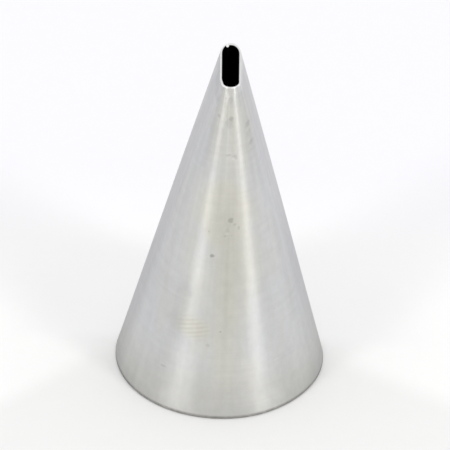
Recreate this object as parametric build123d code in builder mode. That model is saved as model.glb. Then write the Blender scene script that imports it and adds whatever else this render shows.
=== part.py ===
from build123d import *

import os
from math import atan2, cos, degrees, sin, sqrt, tan

# Ribbon piping nozzle: a thin metal cone that narrows to a long, slot-shaped mouth.
#
# The real nozzle is one blank of thin sheet, rolled into a tapering tube and pressed flat at its
# small end. The two long edges of the blank meet at the back, a hair apart, and solder run in
# from inside closes the slit between them and leaves a low rounded bead down the inner wall.
#
# Pressed sheet can't stretch, so its surfaces are cones and planes: a round cone leans towards
# each rounded end of the mouth, and a narrow triangular flat on each side, tangent to both cones,
# joins them.
#
# Frame: millimetres, +Z up. The base rim stands on Z = 0 and the nozzle's axis is Z. The mouth is
# long along Y. The plain front faces -Y and the seam is at the back, on +Y.

# The cone, measured outside; the rounded rim takes the base down to 18 mm
base_diameter = 18.1
nozzle_height = 31.1

# The opening of the mouth, measured inside
mouth_length = 6.1
mouth_width = 1.4

# The sheet, measured across the base rim and across the lip: pressing and trimming thin the lip
base_wall = 0.30
mouth_wall = 0.19

# The tumbled edges: the outer corner of the base rim, and both corners of the lip
rim_round = 0.15
lip_round = 0.05

# The seam runs beside the middle of the back, on the -X side
seam_offset = 0.28
seam_gap = 0.10
bead_radius_at_base = 0.42
bead_radius_at_mouth = 0.17

# Every cut runs this far past what it cuts
overrun = 1.0

base_radius = base_diameter / 2
inner_base_radius = base_radius - base_wall
outer_mouth_length = mouth_length + 2 * mouth_wall
outer_mouth_width = mouth_width + 2 * mouth_wall


def cone_angles(foot_y, foot_radius, top_y, top_radius):
    """The lean of a round cone towards +Y and its half angle, from its outermost lines on Y."""
    far_line = atan2(top_y + top_radius - foot_y - foot_radius, nozzle_height)
    near_line = atan2(top_y - top_radius - foot_y + foot_radius, nozzle_height)
    return (near_line + far_line) / 2, (near_line - far_line) / 2


def leaning_cone(foot_y, foot_radius, top_y, top_radius):
    """A round cone cut level at the base and at the mouth: its middle there, and its reach on Y."""
    lean, half_angle = cone_angles(foot_y, foot_radius, top_y, top_radius)
    apex_share = foot_radius / (foot_radius - top_radius)
    apex_height = apex_share * nozzle_height
    apex_y = foot_y + apex_share * (top_y - foot_y)
    length = apex_height / (cos(lean) - tan(half_angle) * sin(abs(lean))) + overrun
    with BuildPart() as cone:
        with Locations(Location((0, apex_y, apex_height), (-degrees(lean), 0, 0))):
            Cone(length * tan(half_angle), 0, length, align=(Align.CENTER, Align.CENTER, Align.MAX))
        split(bisect_by=Plane.XY, keep=Keep.TOP)
        split(bisect_by=Plane.XY.offset(nozzle_height), keep=Keep.BOTTOM)
    return cone.part


def taper(radius, length, width):
    """The body from the round base up to a mouth of that length and width, filled solid."""
    end_radius = width / 2
    end_centre = length / 2 - end_radius

    # A cone and the flats touch along lines that start on X at the base and end level with the
    # centre of the mouth's rounded end
    lean, half_angle = cone_angles(0, radius, end_centre, end_radius)
    across_share = sqrt(1 - (sin(lean) / cos(half_angle)) ** 2)
    touch_at_base = radius * across_share
    touch_at_mouth = end_radius * across_share
    touch_plane = Plane((0, 0, 0), x_dir=(1, 0, 0), z_dir=(0, nozzle_height, -end_centre))
    flat_normal = (nozzle_height, 0, touch_at_base - touch_at_mouth)
    flat_plane = Plane((touch_at_base, 0, 0), x_dir=(0, 1, 0), z_dir=flat_normal)

    with BuildPart() as rounded_end:
        add(leaning_cone(0, radius, end_centre, end_radius))
        split(bisect_by=touch_plane, keep=Keep.TOP)

    with BuildPart() as pressed_side:
        with BuildSketch(Plane.YZ):
            with BuildLine():
                Polyline(
                    (0, 0), (end_centre, nozzle_height), (-end_centre, nozzle_height), close=True
                )
            make_face()
        extrude(amount=radius)
        split(bisect_by=flat_plane, keep=Keep.BOTTOM)

    with BuildPart() as body:
        add(rounded_end.part)
        add(pressed_side.part)
        mirror(rounded_end.part, about=Plane.XZ)
        mirror(pressed_side.part, about=Plane.YZ)
    return body.part


def back_of_mouth(length, width, x):
    """Y of a mouth's far end at x, where the seam comes out."""
    end_radius = width / 2
    return length / 2 - end_radius + sqrt(end_radius**2 - x**2)


def seam_slab():
    """The slit between the blank's two edges: a thin slab through the back wall, full height."""
    slab_depth = base_radius + overrun
    slab_height = nozzle_height + 2 * overrun
    return Pos(-seam_offset, slab_depth / 2, nozzle_height / 2) * Box(
        seam_gap, slab_depth, slab_height, mode=Mode.PRIVATE
    )


skin = taper(base_radius, outer_mouth_length, outer_mouth_width)
cavity = taper(inner_base_radius, mouth_length, mouth_width)

# The rolled and pressed sheet, before its seam is parted
with BuildPart() as sheet:
    add(skin)
    add(cavity, mode=Mode.SUBTRACT)
    lip_edges = sheet.faces().sort_by(Axis.Z)[-1].edges()
    fillet(lip_edges, lip_round)
    rim_edges = sheet.faces().sort_by(Axis.Z)[0].outer_wire().edges()
    fillet(rim_edges, rim_round)

# The cone wall: the sheet with the slit where its two edges meet
with BuildPart() as cone_wall:
    add(sheet.part)
    add(seam_slab(), mode=Mode.SUBTRACT)

# The bead: a tapering rod laid along the inner wall, of which only the inner side is left
bead_y_at_base = sqrt(inner_base_radius**2 - seam_offset**2)
bead_y_at_mouth = back_of_mouth(mouth_length, mouth_width, seam_offset)
with BuildPart() as bead:
    with Locations((-seam_offset, 0)):
        add(leaning_cone(bead_y_at_base, bead_radius_at_base, bead_y_at_mouth, bead_radius_at_mouth))
    add(cavity, mode=Mode.INTERSECT)

# The seam solder: the web that fills the slit, with the bead along its inner edge
with BuildPart() as seam_solder:
    add(sheet.part)
    add(seam_slab(), mode=Mode.INTERSECT)
    add(bead.part)

os.makedirs("parts", exist_ok=True)
cone_wall.part.label = "cone_wall"
export_step(cone_wall.part, "parts/cone_wall.step")
seam_solder.part.label = "seam_solder"
export_step(seam_solder.part, "parts/seam_solder.step")
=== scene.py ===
from math import atan, atan2, cos, degrees, exp, pi, radians, sin, sqrt

import bmesh
import bpy
from mathutils import Matrix, Vector, noise


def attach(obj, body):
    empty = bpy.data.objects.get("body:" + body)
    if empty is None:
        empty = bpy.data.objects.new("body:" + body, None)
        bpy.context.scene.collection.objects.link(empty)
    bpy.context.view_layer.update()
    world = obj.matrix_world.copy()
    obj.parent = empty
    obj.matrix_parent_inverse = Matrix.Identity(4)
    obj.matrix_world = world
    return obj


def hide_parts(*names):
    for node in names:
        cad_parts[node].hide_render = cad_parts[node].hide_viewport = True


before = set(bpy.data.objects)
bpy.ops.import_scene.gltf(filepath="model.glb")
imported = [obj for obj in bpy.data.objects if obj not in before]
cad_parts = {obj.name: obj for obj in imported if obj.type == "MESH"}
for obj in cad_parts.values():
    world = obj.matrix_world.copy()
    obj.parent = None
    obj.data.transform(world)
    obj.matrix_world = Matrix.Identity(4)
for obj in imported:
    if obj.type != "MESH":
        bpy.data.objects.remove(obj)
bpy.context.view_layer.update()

MM = 0.001

# The nozzle's own sizes in millimetres, as the solids have them. A hair comes off the height, so
# that rounding never lifts the lip out of the solids' box.
BASE_RADIUS = 9.05
HEIGHT = 31.0995
MOUTH_LENGTH = 6.1
MOUTH_WIDTH = 1.4
BASE_WALL = 0.30
MOUTH_WALL = 0.19
RIM_ROUND = 0.15
LIP_ROUND = 0.05
SEAM_OFFSET = 0.28
SEAM_GAP = 0.10
BEAD_RADIUS_AT_BASE = 0.42

# The solids leave the rim's inner edge sharp
RIM_INNER_ROUND = 0.05

# Pressing squeezes the bead at the mouth, where it is a little slimmer than the solids have it and
# stands deeper than it is wide
BEAD_RADIUS_AT_MOUTH = 0.15
BEAD_SQUEEZE = 1.7

# The seam won't bend, so that end of the mouth is drawn out: half an oval, not half a round
END_STRETCH = 0.62

# Beside the seam, on the +X side, the sheet's inner edge stands in a little at the mouth
END_FILL = 0.12

# The mouth's front corner on the -X side is pressed in: how deep, where on Y, how far along Y
# either way, and how near to the middle it has faded out
CORNER_PRESS = 0.09
CORNER_Y = -2.50
CORNER_REACH = 0.35
CORNER_FADE = 0.4

# How finely the sheet is divided: columns on a quarter turn and on half a flat, rows up the wall,
# steps round a rounded edge. At the foot, where a flat has no width, its columns share an angle.
ARC_COLUMNS = 48
FLAT_COLUMNS = 15
WALL_ROWS = 90
CORNER_STEPS = 5
FLAT_FOOT_ANGLE = radians(2.0)

# The length at each end over which the lean of the wall is measured, for its rounded edges
LEAN_SPAN = 0.5

# The solder's rows up the wall, and the steps round its bead
SOLDER_ROWS = 150
BEAD_STEPS = 14

# The web's face at the back: how far it lies below the sheet's, how much that varies, and how
# much lower its middle is
WEB_SINK = 0.010
WEB_SINK_CHANGE = 0.006
WEB_HOLLOW = 0.010

# How far the web's inner corners stand into the hollow, and how far into the wall the bead's
# middle lies
WEB_STAND_IN = 0.001
BEAD_IN_WALL = 0.02

# The bead's own share of its radius, and how much the ripples add to it or take from it
BEAD_FULLNESS = 0.92
BEAD_RIPPLE = 0.06

# Rolling and pressing leave the sheet a little out of true: low waves that run up the wall and
# start over its first millimetres
WAVE_HEIGHT = 0.016
WAVE_SPREAD = 0.30
WAVE_RUN = 0.07
WAVE_START = 2.0

# Use has left the base a little out of round. Each dent: its middle in degrees round the rim from
# +X towards the front, its reach either way in degrees, and its depth at the rim. The last value
# is the height at which they have faded out.
DENTS = ((42.0, 24.0, 0.145), (88.0, 34.0, 0.065))
DENT_HEIGHT = 15.0

# Light: the world's share of it, the white that the metal sees around it, and two softboxes, with
# their distance, width, height and aim in metres
AMBIENT = 0.86
BACKDROP = 0.98
LAMP_ENERGY = 1.35
RIGHT_LAMP_SHARE = 1.14
LAMP_COLOUR = (1.0, 0.99, 0.96)
LAMP_DISTANCE = 0.9
LAMP_WIDTH = 0.16
LAMP_HEIGHT = 0.60
LAMP_AIM = Vector((0.0, 0.0, 0.012))

# The table's colours: before the nozzle, beside it, behind it and far behind it, with painted light
# and shade, darker in front and lightest just behind it, where it weakens the shadows; then at the
# sides and in front of the picture, where only the metal shows them, and the white that the picture
# shows through the weaker shadow
TABLE_BEFORE = (0.900, 0.900, 0.900)
TABLE_BESIDE = (0.972, 0.972, 0.974)
TABLE_BEHIND = (0.990, 0.987, 1.000)
TABLE_FAR = (0.948, 0.945, 0.982)
TABLE_SIDES = (0.99, 0.99, 0.995)
TABLE_IN_FRONT = (0.870, 0.862, 0.820)
TABLE_WHITE = (0.913, 0.913, 0.920, 1.0)


# Node helpers


class Graph:
    """A material or world under construction: short calls that add a node and link its inputs."""

    def __init__(self, tree):
        self.tree = tree
        self.tree.nodes.clear()

    def add(self, kind, inputs=None, **settings):
        made = self.tree.nodes.new("ShaderNode" + kind)
        for name, value in settings.items():
            setattr(made, name, value)
        for name, value in (inputs or {}).items():
            socket = made.inputs[name]
            if isinstance(value, bpy.types.NodeSocket):
                self.tree.links.new(value, socket)
            else:
                socket.default_value = value
        return made

    def math(self, operation, *values):
        return self.add("Math", dict(enumerate(values)), operation=operation).outputs[0]

    def product(self, first, *others):
        for other in others:
            first = self.math("MULTIPLY", first, other)
        return first

    def change(self, tone, share):
        """The tone made lighter or darker by a share of itself."""
        return self.math("MULTIPLY", tone, self.math("ADD", share, 1.0))

    def vector_math(self, operation, *values):
        made = self.add("VectorMath", dict(enumerate(values)), operation=operation)
        return made.outputs["Value" if operation == "LENGTH" else "Vector"]

    def noise(self, vector, scale, detail=2.0, roughness=0.5, distortion=0.0):
        made = self.add(
            "TexNoise",
            {
                "Vector": vector,
                "Scale": scale,
                "Detail": detail,
                "Roughness": roughness,
                "Distortion": distortion,
            },
        )
        return made.outputs["Fac"]

    def ramp(self, value, low, high, to_low=0.0, to_high=1.0, smooth=False):
        made = self.add(
            "MapRange",
            {"Value": value, 1: low, 2: high, 3: to_low, 4: to_high},
            interpolation_type="SMOOTHSTEP" if smooth else "LINEAR",
        )
        return made.outputs[0]

    def mix(self, amount, one, other, blend="MIX"):
        made = self.add("Mix", data_type="RGBA", blend_type=blend)
        sockets = (made.inputs[0], made.inputs[6], made.inputs[7])
        for socket, value in zip(sockets, (amount, one, other)):
            if isinstance(value, bpy.types.NodeSocket):
                self.tree.links.new(value, socket)
            elif socket.type == "RGBA":
                socket.default_value = (*value, 1.0)
            else:
                socket.default_value = value
        return made.outputs[2]

    def shade(self, colour, tone):
        """The colour made lighter or darker by a tone."""
        grey = self.add("CombineColor", {0: tone, 1: tone, 2: tone}).outputs[0]
        return self.mix(1.0, colour, grey, "MULTIPLY")

    def millimetres(self):
        place = self.add("TexCoord").outputs["Object"]
        return self.vector_math("MULTIPLY", place, (1000.0, 1000.0, 1000.0))

    def stretched(self, place, x, y, z):
        return self.vector_math("MULTIPLY", place, (x, y, z))


def new_material(name):
    made = bpy.data.materials.new(name)
    made.use_nodes = True
    return made, Graph(made.node_tree)


# Materials

COOL_STEEL = (0.655, 0.660, 0.672)
WARM_STEEL = (0.666, 0.662, 0.630)
# the yellow of the painted warm reflection
WARM_REFLECTED_STEEL = (0.672, 0.664, 0.612)
WORN_STEEL = (0.668, 0.655, 0.582)
PIT = (0.17, 0.16, 0.14)
# the dark of the painted contact shadow along the rim
RIM_CONTACT_SHADE = (0.20, 0.193, 0.180)
PLAIN_LIP = (0.735, 0.735, 0.740)
# the white of the painted highlights on the lip and on the solder's cut end
LIP_HIGHLIGHT_WHITE = (0.93, 0.93, 0.92)
INNER_STEEL = (0.36, 0.355, 0.345)
FILMED_STEEL = (0.27, 0.262, 0.245)
DULL_SOLDER = (0.40, 0.375, 0.33)
CLEAN_SOLDER = (0.50, 0.49, 0.465)
FLUX = (0.19, 0.16, 0.12)
# the black of the painted shade inside the narrow end and on the lip's inner round
INNER_SHADE_BLACK = (0.0, 0.0, 0.0)

# The heights between which painted shade turns the inside dark
NARROW_END = (22.0, 29.0)

# Marks on the front of the sheet, small sharp ones and then wide faint patches: the middle on X and
# Z, half the width and half the height, all in millimetres, and how much lighter or darker than the
# steel. Most are marks of use; the tall narrow lighter ones just under the mouth, from 27.8 mm up,
# are painted highlights at the tops of the two light streaks.
MARKS_AND_HIGHLIGHTS = (
    (0.44, 18.81, 0.30, 0.30, -0.23),
    (0.84, 18.40, 0.17, 0.16, -0.14),
    (1.13, 18.06, 0.16, 0.17, -0.13),
    (0.21, 17.87, 0.22, 0.31, -0.07),
    (0.18, 17.57, 0.28, 0.12, 0.09),
    (0.02, 17.33, 0.17, 0.11, -0.12),
    (0.54, 17.35, 0.10, 0.10, -0.10),
    (-1.40, 17.58, 0.14, 0.16, -0.12),
    (0.58, 24.80, 0.20, 0.17, -0.11),
    (0.72, 24.60, 0.15, 0.22, -0.10),
    (0.06, 24.87, 0.30, 0.14, -0.12),
    (0.47, 24.48, 0.21, 0.17, 0.09),
    (1.57, 27.28, 0.24, 0.30, -0.15),
    (1.66, 26.45, 0.26, 0.42, -0.07),
    (1.93, 25.58, 0.24, 0.28, -0.11),
    (-0.85, 28.36, 0.17, 0.22, -0.17),
    (0.19, 28.24, 0.21, 0.28, -0.19),
    (0.08, 27.80, 0.38, 0.55, -0.10),
    (-1.03, 15.41, 0.21, 0.20, -0.34),
    (-4.88, 3.85, 0.32, 0.14, -0.14),
    (-1.14, 6.98, 0.24, 0.18, -0.10),
    (4.76, 4.75, 0.30, 0.08, 0.08),
    (4.55, 1.10, 1.25, 1.50, 0.06),
    (-4.40, 1.00, 1.45, 1.50, 0.045),
    (-0.24, 30.15, 0.16, 0.95, 0.24),
    (0.07, 29.98, 0.22, 0.43, -0.11),
    (0.37, 30.55, 0.10, 0.85, 0.11),
    (-0.36, 28.75, 0.16, 0.90, 0.13),
    (-0.50, 27.85, 0.17, 0.70, 0.10),
    (-1.07, 30.10, 0.22, 0.90, -0.09),
    (0.40, 29.50, 0.12, 1.80, 0.05),
    (0.05, 18.20, 0.95, 2.60, -0.035),
    (0.20, 26.00, 1.60, 4.50, 0.035),
    (-2.75, 9.40, 1.90, 4.20, -0.055),
    (-3.94, 8.35, 0.70, 1.30, -0.05),
    (-0.70, 2.40, 1.90, 3.40, -0.045),
)

# How far the edges of the marks wander
RAGGED = 0.08

# A large faint darker band down the middle of the front, by the same five numbers. Its yellow is
# painted warm reflection.
MIDDLE_BAND = (0.35, 13.5, 1.9, 10.5, -0.085)

# Painted warm reflection: where the front is a little yellow, as the lit steel mirrors warm light:
# the same sizes, and how much
WARM_REFLECTIONS = (
    (-0.05, 19.2, 2.15, 3.7, 1.0),
    (1.05, 26.2, 0.95, 4.2, 0.5),
)

# A worn patch on the front, where the lines of the polishing wheel show through: the same sizes,
# the step from line to line, and how far the lines rise for each millimetre on X
WORN_PATCH = (-2.45, 8.35, 1.60, 1.25)
RING_STEP = 0.40
RING_TILT = 0.33

# Painted glints at the front end of the lip: the middle on X and Y, half the width and half the
# depth
LIP_GLINTS = (
    (-0.55, -2.95, 0.22, 0.20),
    (0.20, -3.17, 0.16, 0.16),
    (0.72, -2.80, 0.16, 0.20),
)


def brushing(g, place):
    """Heights of the fine rings that brushing leaves: hair lines, then wider uneven rings."""
    hair = g.noise(g.stretched(place, 0.20, 0.20, 21.0), 1.0, 4.0, 0.65)
    rings = g.noise(g.stretched(place, 0.07, 0.07, 2.9), 1.0, 2.0, 0.55)
    return hair, rings


def fan(g, x, y, height):
    """A place on the wall, drawn out to the width of the base: constant along straight lines up."""
    across = g.ramp(height, 0.0, HEIGHT, 1.0, (MOUTH_WIDTH / 2 + MOUTH_WALL) / BASE_RADIUS)
    deep = g.ramp(height, 0.0, HEIGHT, 1.0, (MOUTH_LENGTH / 2 + MOUTH_WALL) / BASE_RADIUS)
    wide = g.math("DIVIDE", x, across)
    return g.add("CombineXYZ", {0: wide, 1: g.math("DIVIDE", y, deep), 2: height}).outputs[0]


def near(g, x, z, mark, core=0.4):
    """How near a point is to the middle of a mark: 1 in its core, 0 outside."""
    across = g.math("DIVIDE", g.math("SUBTRACT", x, mark[0]), mark[2])
    along = g.math("DIVIDE", g.math("SUBTRACT", z, mark[1]), mark[3])
    away = g.vector_math("LENGTH", g.add("CombineXYZ", {0: across, 1: along}).outputs[0])
    return g.ramp(away, core, 1.15, 1.0, 0.0, True)


def metal(g, colour, roughness, relief, strength, distance, more=None):
    """Ends a material as metal of this colour. The relief's full height, distance, is in metres."""
    bump = g.add("Bump", {"Height": relief, "Strength": strength, "Distance": distance})
    inputs = {
        "Base Color": colour,
        "Metallic": 1.0,
        "Roughness": roughness,
        "Normal": bump.outputs[0],
    }
    shader = g.add("BsdfPrincipled", inputs | (more or {}))
    g.add("OutputMaterial", {"Surface": shader.outputs[0]})


class Where:
    """What the parts of the steel share: the place in millimetres, how far it faces +X, the same
    for either side, and 1 on the front half of the nozzle."""

    def __init__(self, g):
        self.place = g.millimetres()
        self.x, self.y, self.height = g.add("SeparateXYZ", {0: self.place}).outputs
        normal = g.add("TexCoord").outputs["Normal"]
        self.facing = g.add("SeparateXYZ", {0: normal}).outputs[0]
        self.side = g.math("ABSOLUTE", self.facing)
        self.front = g.math("LESS_THAN", self.y, 0.0)


def polished_tone(g, at, hair, rings):
    """How light the steel is: patchy rings, faint streaks that narrow with the wall, blotches."""
    patchy = g.noise(g.stretched(at.place, 0.3, 0.3, 0.22), 1.0, 2.0)
    patchy = g.ramp(patchy, 0.38, 0.62, 0.25, 1.15, True)
    wide = g.product(g.ramp(rings, 0.30, 0.70, -0.023, 0.021), patchy)
    fine = g.product(g.ramp(hair, 0.25, 0.75, -0.014, 0.012), patchy)
    drawn_out = g.stretched(fan(g, at.x, at.y, at.height), 0.75, 0.75, 0.06)
    streaks = g.ramp(g.noise(drawn_out, 1.0, 2.5, 0.55, 0.3), 0.30, 0.70, 0.958, 1.036)
    blotches = g.noise(g.stretched(at.place, 1.4, 1.4, 1.1), 1.0, 4.0, 0.65)
    blotches = g.ramp(blotches, 0.30, 0.70, 0.962, 1.032)
    return g.product(g.math("ADD", g.math("ADD", wide, fine), 1.0), streaks, blotches)


def painted_light_tone(g, at, tone):
    """Painted shade makes the foot darker, where the steel mirrors the shadowed table, and the
    steel is darker towards the -X side. Painted light makes the flats lighter, most on the +X side,
    and painted shade makes the bends beside them darker, most beside the mouth."""
    # painted shade: the foot darker, and its sides darker still just above the rim, where the steel
    # mirrors the shadowed table
    tone = g.product(tone, g.ramp(at.height, 0.3, 5.0, 0.91, 1.0, True))
    foot_sides = g.ramp(at.side, 0.62, 0.86)
    foot_sides = g.product(foot_sides, g.ramp(at.height, 1.6, 0.9, 0.0, -0.05, True))
    tone = g.change(tone, foot_sides)
    tone = g.product(tone, g.ramp(at.x, -1.5, -5.0, 1.0, 0.965, True))

    # painted light: the flats lighter, most on the +X side
    flats = g.product(g.ramp(at.side, 0.87, 0.94), g.ramp(at.height, 11.0, 18.0))
    flats = g.product(flats, g.ramp(at.facing, -0.5, 0.5, 0.035, 0.09))
    tone = g.change(tone, flats)

    # painted shade: the bends beside the flats darker, most beside the mouth
    bends = g.ramp(at.side, 0.52, 0.72, smooth=True)
    bends = g.product(bends, g.ramp(at.side, 0.96, 0.86, smooth=True))
    bends = g.product(bends, g.ramp(at.height, 19.0, 26.0, -0.030, -0.105, True))
    tone = g.change(tone, bends)

    # painted shade: the -X side darker between the middle and the bend, high up
    beside = g.ramp(at.facing, -0.10, -0.35, smooth=True)
    beside = g.product(beside, g.ramp(at.facing, -0.85, -0.66, smooth=True))
    beside = g.product(beside, g.ramp(at.height, 20.0, 26.0, 0.0, -0.085, True))
    tone = g.change(tone, beside)

    # painted light and shade: just under the lip it is lighter on the +X side and darker on the -X
    # side
    right = g.ramp(at.facing, 0.5, 0.9, 0.0, 0.16)
    left = g.ramp(at.facing, -0.5, -0.9, 0.0, -0.08)
    under_lip = g.math("ADD", right, left)
    return g.change(tone, g.product(under_lip, g.ramp(at.height, 30.3, 30.8, smooth=True)))


def marks_and_highlights_tone(g, at, tone):
    """The marks, with ragged edges; the lighter ones just under the mouth are painted highlights.
    """
    across = g.noise(g.stretched(at.place, 3.4, 3.4, 3.0), 1.0)
    x = g.math("ADD", at.x, g.ramp(across, 0.25, 0.75, -RAGGED, RAGGED))
    up = g.noise(g.stretched(at.place, 2.9, 3.6, 3.8), 1.0)
    z = g.math("ADD", at.height, g.ramp(up, 0.25, 0.75, -RAGGED, RAGGED))
    # the lighter marks just under the mouth are painted highlights
    for mark in MARKS_AND_HIGHLIGHTS:
        tone = g.change(tone, g.product(near(g, x, z, mark), at.front, mark[4]))
    return tone


def worn_and_reflected_front(g, at, colour, tone):
    """The darker middle band and the painted warm reflection that yellows it and the tint patches,
    then the worn patch with the lines of polishing.
    """
    warm_band = g.product(near(g, at.x, at.height, MIDDLE_BAND, 0.0), at.front)
    tone = g.change(tone, g.product(warm_band, MIDDLE_BAND[4]))
    # painted warm reflection: the middle band and the tint patches turn yellow
    for tint in WARM_REFLECTIONS:
        yellow = g.product(near(g, at.x, at.height, tint, 0.7), at.front, tint[4])
        warm_band = g.math("MAXIMUM", warm_band, yellow)
    colour = g.mix(g.product(warm_band, 0.8), colour, WARM_REFLECTED_STEEL)

    patch = g.product(near(g, at.x, at.height, WORN_PATCH), at.front)
    line = g.math("SUBTRACT", at.height, g.product(at.x, RING_TILT))
    line = g.math("SINE", g.product(line, 2 * pi / RING_STEP))
    line = g.product(g.math("SUBTRACT", g.product(line, 0.055), 0.02), patch)
    return g.mix(g.product(patch, 0.65), colour, WORN_STEEL), g.change(tone, line)


def pits(g, place):
    """Small dark pits. Most cells of the pattern have none."""
    cells = g.add("TexVoronoi", {"Vector": place, "Scale": 0.42, "Randomness": 1.0})
    chance = g.add("SeparateColor", {0: cells.outputs["Color"]})
    radius = g.ramp(chance.outputs[0], 0.80, 1.0, 0.0, 0.05)
    pit = g.math("LESS_THAN", cells.outputs["Distance"], radius)
    return g.product(pit, g.ramp(chance.outputs[1], 0.0, 1.0, 0.10, 0.35))


def edge_light_and_shade(g, at, colour):
    """Painted contact shadow darkens the rim where it meets the table. Painted highlight makes the
    lip bright, most on the -X side and at the back. Along the slot's sides painted shade, the black
    of the inside, reaches onto the lip's inner round."""
    ragged_shade = g.noise(g.stretched(at.place, 1.3, 1.3, 1.3), 1.0, 3.0, 0.6)
    # painted contact shadow along the rim, broken up by noise
    rim = g.ramp(at.height, 0.20, 0.40, 1.0, 0.0, True)
    rim = g.product(rim, g.ramp(ragged_shade, 0.30, 0.60, 0.62, 1.0))
    colour = g.mix(g.product(rim, 0.71), colour, RIM_CONTACT_SHADE)

    # painted highlight on the lip, with painted glints
    lip = g.ramp(at.height, HEIGHT - 0.10, HEIGHT - 0.02, smooth=True)
    highlight_patches = g.noise(g.stretched(at.place, 1.4, 1.4, 1.4), 1.0, 2.0, 0.5)
    lip_highlight = g.math("MAXIMUM", g.ramp(at.x, 0.35, -0.55, 0.35, 0.75), g.ramp(at.y, 0.8, 2.6))
    lip_highlight = g.product(lip_highlight, g.ramp(highlight_patches, 0.35, 0.60, 0.55, 1.0))
    for spot in LIP_GLINTS:
        lip_highlight = g.math("MAXIMUM", lip_highlight, near(g, at.x, at.y, spot))
    colour = g.mix(g.product(lip, 0.95), colour, g.mix(lip_highlight, PLAIN_LIP, LIP_HIGHLIGHT_WHITE))

    # painted shade on the lip's inner round
    inward = g.product(at.facing, g.math("SIGN", at.x))
    film_and_shade = g.product(g.ramp(inward, -0.08, -0.35), lip)
    return g.mix(g.product(film_and_shade, 0.95), colour, INNER_SHADE_BLACK)


def steel_material():
    """The outside of the sheet: satin steel, polished round the cone and worn by use, with painted
    light, shade and reflection in its colour.
    """
    made, g = new_material("brushed_sheet_steel")
    at = Where(g)
    hair, rings = brushing(g, at.place)

    # warm and cool clouds that are drawn out up the wall, coolest at the sides, and a warm foot.
    # Keeping the warmth off the sides is painted reflection: the front mirrors the warm wall ahead.
    clouds = g.noise(g.stretched(at.place, 0.42, 0.42, 0.13), 1.0, 3.0, 0.6, 0.4)
    warm = g.ramp(clouds, 0.36, 0.66, smooth=True)
    warm = g.product(warm, g.ramp(at.side, 0.30, 0.90, 1.0, 0.30))
    warm = g.math("MAXIMUM", warm, g.ramp(at.height, 7.0, 1.5, 0.0, 0.72, True))
    colour = g.mix(warm, COOL_STEEL, WARM_STEEL)

    tone = polished_tone(g, at, hair, rings)
    tone = painted_light_tone(g, at, tone)
    tone = marks_and_highlights_tone(g, at, tone)
    colour, tone = worn_and_reflected_front(g, at, colour, tone)
    pit = pits(g, at.place)
    colour = g.mix(pit, g.shade(colour, tone), PIT)
    colour = edge_light_and_shade(g, at, colour)

    roughness = g.ramp(rings, 0.25, 0.75, 0.325, 0.345)
    roughness = g.math("ADD", roughness, g.ramp(clouds, 0.3, 0.7, -0.015, 0.02))
    roughness = g.math("ADD", roughness, g.product(pit, 0.2))
    relief = g.math("ADD", g.product(hair, 0.35), g.product(rings, 0.35))
    relief = g.math("SUBTRACT", relief, g.product(pit, 2.0))
    round_the_cone = {
        "Anisotropic": 0.89,
        "Anisotropic Rotation": 0.25,
        "Specular Tint": (0.70, 0.70, 0.71, 1.0),
        "Tangent": g.add("Tangent", direction_type="RADIAL", axis="Z").outputs[0],
    }
    metal(g, colour, roughness, relief, 0.5, 0.0000045, round_the_cone)
    return made


def inner_material():
    """The inside of the sheet: the same steel, duller and darkened as painted shade, with a thin
    grey film left by washing, and more painted shade that turns it almost black in the narrow end.
    """
    made, g = new_material("inner_sheet_steel")
    place = g.millimetres()
    hair, rings = brushing(g, place)
    film_and_shade = g.noise(g.stretched(place, 0.45, 0.45, 0.30), 1.0, 4.0, 0.6, 0.5)
    colour = g.mix(g.ramp(film_and_shade, 0.35, 0.70, smooth=True), INNER_STEEL, FILMED_STEEL)
    # painted shade: the inside darkens almost to black in the narrow end
    height = g.add("SeparateXYZ", {0: place}).outputs[2]
    tone = g.ramp(rings, 0.30, 0.70, 0.94, 1.04)
    tone = g.product(tone, g.ramp(height, *NARROW_END, 1.0, 0.08, True))
    relief = g.math("ADD", g.product(hair, 0.5), rings)
    roughness = g.ramp(film_and_shade, 0.3, 0.7, 0.30, 0.42)
    metal(g, g.shade(colour, tone), roughness, relief, 0.5, 0.000005)
    return made


def solder_material():
    """Solder: dull grey, lumpy, with small pits and a little brown flux left in the hollows."""
    made, g = new_material("seam_solder_metal")
    place = g.millimetres()
    lumps = g.noise(place, 3.2, 3.0, 0.55)
    grain = g.noise(place, 14.0, 3.0, 0.6)
    cells = g.add("TexVoronoi", {"Vector": place, "Scale": 3.6, "Randomness": 1.0})
    pit = g.ramp(cells.outputs["Distance"], 0.05, 0.14, 1.0, 0.0, True)
    colour = g.mix(g.ramp(lumps, 0.35, 0.65, smooth=True), DULL_SOLDER, CLEAN_SOLDER)
    colour = g.mix(g.product(pit, 0.7), colour, FLUX)
    # painted shade darkens the bead in the narrow end, as inside the sheet, and painted highlight
    # makes its cut end bright
    height = g.add("SeparateXYZ", {0: place}).outputs[2]
    facing_back = g.add("SeparateXYZ", {0: g.add("TexCoord").outputs["Normal"]}).outputs[1]
    film_and_shade = g.product(g.ramp(height, *NARROW_END, smooth=True), g.ramp(facing_back, 0.3, 0.0))
    colour = g.mix(g.product(film_and_shade, 0.90), colour, INNER_SHADE_BLACK)
    cut_end = g.ramp(height, HEIGHT - 0.08, HEIGHT - 0.02, smooth=True)
    colour = g.mix(cut_end, colour, LIP_HIGHLIGHT_WHITE)
    relief = g.math("ADD", lumps, g.product(grain, 0.25))
    relief = g.math("SUBTRACT", relief, g.product(pit, 0.6))
    metal(g, colour, g.ramp(grain, 0.3, 0.7, 0.38, 0.52), relief, 0.6, 0.00003)
    return made


# The sheet and its solder


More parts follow.
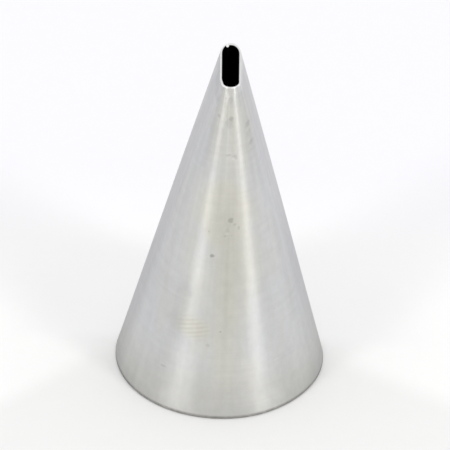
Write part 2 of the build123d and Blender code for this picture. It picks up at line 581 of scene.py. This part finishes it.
class Taper:
    """A surface of the sheet: a leaning cone for each rounded end of the mouth, joined by flats."""

    def __init__(self, base_radius, mouth_length, mouth_width, fill=0.0):
        self.foot = base_radius
        self.fill = fill
        self.top = mouth_width / 2
        self.reach = mouth_length / 2 - self.top
        near_side = atan2(self.reach - self.top + self.foot, HEIGHT)
        far_side = atan2(self.reach + self.top - self.foot, HEIGHT)
        lean, half_angle = (near_side + far_side) / 2, (near_side - far_side) / 2
        self.across_share = sqrt(1 - (sin(lean) / cos(half_angle)) ** 2)

    def radius(self, z):
        return self.foot + (self.top - self.foot) * z / HEIGHT

    def centre(self, z):
        return self.reach * z / HEIGHT

    def stretch(self, z):
        return END_STRETCH * (z / HEIGHT) ** 3

    def depth(self, z, on_right):
        """How far the back end reaches past its own centre at height z."""
        fill = self.fill * (z / HEIGHT) ** 3 if on_right else 0.0
        return self.radius(z) + self.stretch(z) - fill

    def back_angle(self, z, x):
        """Angle from +X round the back cone's section at height z to the plane at x."""
        return pi / 2 - atan2(x, sqrt(max((self.radius(z) * self.across_share) ** 2 - x * x, 0)))

    def back_y(self, z, x):
        """Y of the back of this surface, beside the seam."""
        angle = self.back_angle(z, x)
        return self.centre(z) - self.stretch(z) + self.depth(z, x > -SEAM_OFFSET) * sin(angle)

    def at(self, side, q, z, seam_x):
        """A point on the quarter outline: side is (sign x, sign y); q runs 0..1 from the middle
        of the flat to the quarter's end on Y, or at the back to the seam's edge."""
        sign_x, sign_y = side
        at_back = sign_y > 0
        radius = self.radius(z)
        centre = self.centre(z) - (self.stretch(z) if at_back else 0.0)
        deep = self.depth(z, sign_x > 0) if at_back else radius
        end = self.back_angle(z, seam_x * sign_x) if at_back else pi / 2
        blend = FLAT_FOOT_ANGLE * (1 - z / HEIGHT)
        flat_share = FLAT_COLUMNS / (FLAT_COLUMNS + ARC_COLUMNS)
        if q <= flat_share:
            along = (q / flat_share) * (centre + radius * blend)
            if along <= centre:
                return Vector((sign_x * radius * self.across_share, sign_y * along, z))
            angle = (along - centre) / radius
        else:
            angle = blend + (q - flat_share) / (1 - flat_share) * (end - blend)
        x = sign_x * radius * self.across_share * cos(angle)
        return Vector((x, sign_y * (centre + deep * sin(angle)), z))


outside = Taper(BASE_RADIUS, MOUTH_LENGTH + 2 * MOUTH_WALL, MOUTH_WIDTH + 2 * MOUTH_WALL)
inside = Taper(BASE_RADIUS - BASE_WALL, MOUTH_LENGTH, MOUTH_WIDTH, END_FILL)


def tight_corner(radius, tan_lean, step):
    """A corner under 90 degrees, rounded: distance from the wall and from the level face."""
    lean = atan(tan_lean)
    reach = radius * (1 + sin(lean)) / cos(lean)
    angle = lean - (lean + pi / 2) * step / CORNER_STEPS
    away = radius + radius * sin(angle)
    return reach - radius * cos(angle) - away * tan_lean, away


def wide_corner(radius, tan_lean, step):
    """A corner over 90 degrees, the same way."""
    lean = atan(tan_lean)
    reach = radius * (1 - sin(lean)) / cos(lean)
    angle = (pi / 2 - lean) * (1 - step / CORNER_STEPS)
    away = radius - radius * cos(angle)
    return reach - radius * sin(angle) + away * tan_lean, away


def section(side, q, seam_x):
    """The sheet's section at one column, from the rim up the outside and down the inside, as
    (share from outside to inside, height). Each corner is a true arc. Its first half is the
    outside and its second half the inside."""

    def wall(z):
        return outside.at(side, q, z, seam_x), inside.at(side, q, z, seam_x)

    def slope(surface, z_low, z_high, across):
        low, high = surface.at(side, q, z_low, seam_x), surface.at(side, q, z_high, seam_x)
        return (low - high).dot(across) / (z_high - z_low)

    outer, inner = wall(0.0)
    across_base = (outer - inner).normalized()
    outer, inner = wall(HEIGHT)
    across_lip = (outer - inner).normalized()
    out_foot = slope(outside, 0.0, LEAN_SPAN, across_base)
    in_foot = slope(inside, 0.0, LEAN_SPAN, across_base)
    out_lip = slope(outside, HEIGHT - LEAN_SPAN, HEIGHT, across_lip)
    in_lip = slope(inside, HEIGHT - LEAN_SPAN, HEIGHT, across_lip)
    path = []

    def put(distance, z, on_inside):
        outer, inner = wall(z)
        share = distance / (outer - inner).length
        path.append((1 - share if on_inside else share, z))

    for k in range(CORNER_STEPS, 0, -1):
        put(*tight_corner(RIM_ROUND, out_foot, k), False)
    low = tight_corner(RIM_ROUND, out_foot, 0)[1]
    high = HEIGHT - wide_corner(LIP_ROUND, out_lip, 0)[1]
    for k in range(WALL_ROWS):
        put(0.0, low + (high - low) * k / WALL_ROWS, False)
    for k in range(CORNER_STEPS + 1):
        distance, away = wide_corner(LIP_ROUND, out_lip, k)
        put(distance, HEIGHT - away, False)
    for k in range(CORNER_STEPS, -1, -1):
        distance, away = tight_corner(LIP_ROUND, in_lip, k)
        put(distance, HEIGHT - away, True)
    high = HEIGHT - tight_corner(LIP_ROUND, in_lip, 0)[1]
    low = wide_corner(RIM_INNER_ROUND, in_foot, 0)[1]
    for k in range(1, WALL_ROWS):
        put(0.0, high + (low - high) * k / WALL_ROWS, True)
    for k in range(CORNER_STEPS + 1):
        put(*wide_corner(RIM_INNER_ROUND, in_foot, k), True)
    return path


def outline_columns():
    """Round the sheet from one edge of the seam to the other, as (side, q) places."""
    count = ARC_COLUMNS + FLAT_COLUMNS
    columns = []
    columns += [((1, 1), 1 - k / count) for k in range(count)]
    columns += [((1, -1), k / count) for k in range(count)]
    columns += [((-1, -1), 1 - k / count) for k in range(count)]
    columns += [((-1, 1), k / count) for k in range(count + 1)]
    return columns


def formed(point, across):
    """Moves a point of the sheet inwards by the low waves that forming leaves, by the dents and
    by the pressed corner of the mouth."""
    place = Vector((point.x * WAVE_SPREAD, point.y * WAVE_SPREAD, point.z * WAVE_RUN))
    dip = (0.5 + 0.5 * noise.noise(place)) * WAVE_HEIGHT * min(point.z / WAVE_START, 1.0)
    around = degrees(atan2(-point.y, point.x))
    fade = max(1 - point.z / DENT_HEIGHT, 0.0) ** 2
    for middle, reach, depth in DENTS:
        dip += depth * fade * exp(-(((around - middle) / reach) ** 2))
    if point.x < 0:
        pressed = exp(-(((point.y - CORNER_Y) / CORNER_REACH) ** 2))
        pressed *= min(-point.x / CORNER_FADE, 1.0)
        dip += CORNER_PRESS * pressed * (point.z / HEIGHT) ** 8
    return point - across * dip


def finish_mesh(name, bm, node, materials):
    mesh = bpy.data.meshes.new(name)
    bmesh.ops.recalc_face_normals(bm, faces=bm.faces)
    bm.to_mesh(mesh)
    bm.free()
    mesh.transform(Matrix.Scale(MM, 4))
    made = bpy.data.objects.new(name, mesh)
    bpy.context.scene.collection.objects.link(made)
    for each in materials:
        mesh.materials.append(each)
    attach(made, "root")
    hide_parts(node)


def loft(bm, rings):
    """Joins each closed ring of points to the next by smooth faces, and gives each face with its
    place round the ring."""
    faces = []
    count = len(rings[0])
    for one, other in zip(rings, rings[1:]):
        for k in range(count):
            m = (k + 1) % count
            face = bm.faces.new((one[k], one[m], other[m], other[k]))
            face.smooth = True
            faces.append((face, k))
    return faces


def sharp_edges(face):
    for edge in face.edges:
        edge.smooth = False


def build_wall():
    bm = bmesh.new()
    rings = []
    for side, q in outline_columns():
        seam_x = -SEAM_OFFSET + side[0] * SEAM_GAP / 2
        ring = []
        for share, z in section(side, q, seam_x):
            outer, inner = outside.at(side, q, z, seam_x), inside.at(side, q, z, seam_x)
            point = formed(outer.lerp(inner, share), (outer - inner).normalized())
            ring.append(bm.verts.new(point))
        rings.append(ring)
    count = len(rings[0])
    # the inside's own material starts two steps down the lip's inner round, and the rim has none
    inner_start = count // 2 + 2
    for face, k in loft(bm, rings):
        face.material_index = 1 if inner_start <= k < count - 1 else 0
    for ring in (rings[0], rings[-1]):
        for k in range(count // 2 - 1):
            pair = (ring[k], ring[k + 1], ring[count - 2 - k], ring[count - 1 - k])
            sharp_edges(bm.faces.new(pair))
    materials = [steel_material(), inner_material()]
    finish_mesh("cone_wall_sheet", bm, "cone_wall", materials)


def solder_ring(z):
    """The solder's outline at height z: the web in the slit, then the bead inside the wall."""
    left, right = -SEAM_OFFSET - SEAM_GAP / 2, -SEAM_OFFSET + SEAM_GAP / 2
    share = z / HEIGHT
    bead = BEAD_RADIUS_AT_BASE + (BEAD_RADIUS_AT_MOUTH - BEAD_RADIUS_AT_BASE) * share
    slow = noise.noise(Vector((0.3, 0.7, z * 0.5)))
    quick = noise.noise(Vector((5.3, 0.7, z * 1.9)))
    bead *= BEAD_FULLNESS + BEAD_RIPPLE * (slow + 0.5 * quick)
    deep = bead * (1 + BEAD_SQUEEZE * share**4)
    foot = max(0.0, 1 - z / RIM_ROUND) * RIM_ROUND
    lift = max(0.0, 1 - (HEIGHT - z) / LIP_ROUND) * LIP_ROUND
    sink = WEB_SINK + WEB_SINK_CHANGE * noise.noise(Vector((9.1, 2.2, z * 0.8)))
    sink = sink + foot + lift + WAVE_HEIGHT / 2
    ring = [
        (right, outside.back_y(z, right) - sink),
        (-SEAM_OFFSET, outside.back_y(z, -SEAM_OFFSET) - sink - WEB_HOLLOW),
        (left, outside.back_y(z, left) - sink),
        (left, inside.back_y(z, left) - WEB_STAND_IN),
    ]
    middle_y = inside.back_y(z, -SEAM_OFFSET) + BEAD_IN_WALL
    for k in range(BEAD_STEPS + 1):
        angle = pi + pi * k / BEAD_STEPS
        ring.append((-SEAM_OFFSET + bead * cos(angle), middle_y + deep * sin(angle)))
    ring.append((right, inside.back_y(z, right) - WEB_STAND_IN))
    return ring


def build_solder():
    bm = bmesh.new()
    rings = []
    for k in range(SOLDER_ROWS + 1):
        z = HEIGHT * k / SOLDER_ROWS
        rings.append([bm.verts.new((x, y, z)) for x, y in solder_ring(z)])
    loft(bm, rings)
    for ring in (rings[0], rings[-1]):
        sharp_edges(bm.faces.new(ring))
    finish_mesh("seam_solder_fill", bm, "seam_solder", [solder_material()])


# Floor, light and camera


def table_material():
    """A white table top with painted light and shade: darker in front, whitest just behind the
    nozzle, where it weakens the shadows.
    """
    made, g = new_material("table_top")
    place = g.millimetres()
    x, y = g.add("SeparateXYZ", {0: place}).outputs[:2]
    # the edge of the painted shade in front bends forward from 11 mm out on either side
    left = g.product(g.math("MAXIMUM", g.math("SUBTRACT", -11.0, x), 0.0), 0.9)
    right = g.product(g.math("MAXIMUM", g.math("SUBTRACT", x, 11.0), 0.0), 0.6)
    edge = g.math("ADD", y, g.math("ADD", left, right))
    colour = g.mix(g.ramp(edge, -2.5, 1.5, smooth=True), TABLE_BEFORE, TABLE_BESIDE)
    colour = g.mix(g.ramp(y, 4.0, 14.0, smooth=True), colour, TABLE_BEHIND)
    colour = g.mix(g.ramp(y, 14.0, 28.0, smooth=True), colour, TABLE_FAR)
    # outside the picture it is what the metal mirrors: whiter at the sides, warmer in front
    sides = g.ramp(g.math("ABSOLUTE", x), 20.0, 38.0, smooth=True)
    sides = g.product(sides, g.ramp(y, -18.0, 12.0, smooth=True))
    colour = g.mix(sides, colour, TABLE_SIDES)
    colour = g.mix(g.ramp(y, -17.0, -34.0, smooth=True), colour, TABLE_IN_FRONT)
    grain = g.ramp(g.noise(place, 0.9, 2.0), 0.3, 0.7, 0.995, 1.0)
    inputs = {"Base Color": g.shade(colour, grain), "Roughness": 0.9, "Specular IOR Level": 0.0}
    shader = g.add("BsdfPrincipled", inputs)
    # behind the foot the picture shows the white table through a weaker shadow
    weaker = g.ramp(g.vector_math("LENGTH", place), 20.0, 13.0, 0.0, 0.6, True)
    weaker = g.product(weaker, g.ramp(y, 1.0, 3.5, smooth=True))
    weaker = g.product(weaker, g.add("LightPath").outputs["Is Camera Ray"])
    white = g.add("Emission", {"Color": TABLE_WHITE, "Strength": 1.0})
    both = g.add("MixShader", {0: weaker, 1: shader.outputs[0], 2: white.outputs[0]})
    g.add("OutputMaterial", {"Surface": both.outputs[0]})
    return made


def build_floor():
    mesh = bpy.data.meshes.new("table_top")
    # the top lies a hair under the rim, so that the two never share a plane
    half, low = 2.0, -0.00001
    corners = [(-half, -half, low), (half, -half, low), (half, half, low), (-half, half, low)]
    mesh.from_pydata(corners, [], [(0, 1, 2, 3)])
    mesh.materials.append(table_material())
    floor = bpy.data.objects.new("table_top", mesh)
    bpy.context.scene.collection.objects.link(floor)


def build_world():
    """A white studio: what shines in the metal is white, and what lights the scene is gentler."""
    world = bpy.data.worlds.new("studio")
    bpy.context.scene.world = world
    world.use_nodes = True
    g = Graph(world.node_tree)
    lit = g.add("Background", {"Color": (1.0, 1.0, 1.0, 1.0), "Strength": AMBIENT})
    # the wall in front of the nozzle, behind the camera, is a little warm
    ahead = g.add("SeparateXYZ", {0: g.add("TexCoord").outputs["Generated"]}).outputs[1]
    wall = g.mix(g.ramp(ahead, -0.5, -0.95), (1.0, 1.0, 1.0), (1.0, 0.995, 0.955))
    seen = g.add("Background", {"Color": wall, "Strength": BACKDROP})
    ray = g.add("LightPath").outputs
    shown = g.math("MAXIMUM", ray["Is Camera Ray"], ray["Is Glossy Ray"])
    shown = g.math("MAXIMUM", shown, ray["Is Transmission Ray"])
    # light that has already left the table again is lit light, not the white backdrop
    shown = g.product(shown, g.math("LESS_THAN", ray["Diffuse Depth"], 0.5))
    both = g.add("MixShader", {0: shown, 1: lit.outputs[0], 2: seen.outputs[0]})
    g.add("OutputWorld", {"Surface": both.outputs[0]})


def softbox(name, azimuth, rise, energy):
    """A softbox aimed at the nozzle, by its azimuth from the front and its rise in degrees."""
    lamp = bpy.data.lights.new(name, "AREA")
    lamp.shape = "RECTANGLE"
    lamp.size = LAMP_WIDTH
    lamp.size_y = LAMP_HEIGHT
    lamp.energy = energy
    lamp.color = LAMP_COLOUR
    lit = bpy.data.objects.new(name, lamp)
    azimuth, rise = radians(azimuth), radians(rise)
    towards = Vector((sin(azimuth) * cos(rise), -cos(azimuth) * cos(rise), sin(rise)))
    place = towards * LAMP_DISTANCE
    aim = (LAMP_AIM - place).to_track_quat("-Z", "Y").to_matrix().to_4x4()
    lit.matrix_world = Matrix.Translation(place) @ aim
    bpy.context.scene.collection.objects.link(lit)


def build_light():
    build_world()
    softbox("softbox_left", -45, 35, LAMP_ENERGY)
    softbox("softbox_right", 49, 35, LAMP_ENERGY * RIGHT_LAMP_SHARE)


def build_camera():
    """The photograph's view: from in front and above, a long lens, tipped a little on its axis."""
    rise, turn, roll = radians(37.08), radians(0.94), radians(2.23)
    distance = 0.9
    frame_pixels = 450
    focal_pixels = 10404.0
    # where the middle of the nozzle's base falls in the frame
    base_x, base_y = 219.30, 355.33
    forward = Vector((sin(turn) * cos(rise), cos(turn) * cos(rise), -sin(rise)))
    level = Vector((cos(turn), -sin(turn), 0))
    upright = level.cross(forward)
    right = level * cos(roll) + upright * sin(roll)
    up = upright * cos(roll) - level * sin(roll)
    x = (base_x - frame_pixels / 2) / focal_pixels * distance
    y = (frame_pixels / 2 - base_y) / focal_pixels * distance
    place = -(right * x + up * y + forward * distance)
    data = bpy.data.cameras.new("camera")
    data.sensor_width = 36.0
    data.lens = focal_pixels / frame_pixels * data.sensor_width
    cam = bpy.data.objects.new("camera", data)
    turn_matrix = Matrix((right, up, -forward)).transposed().to_4x4()
    cam.matrix_world = Matrix.Translation(place) @ turn_matrix
    bpy.context.scene.collection.objects.link(cam)
    bpy.context.scene.camera = cam


build_camera()
build_wall()
build_solder()
build_floor()
build_light()
bpy.context.scene.view_settings.view_transform = "Standard"
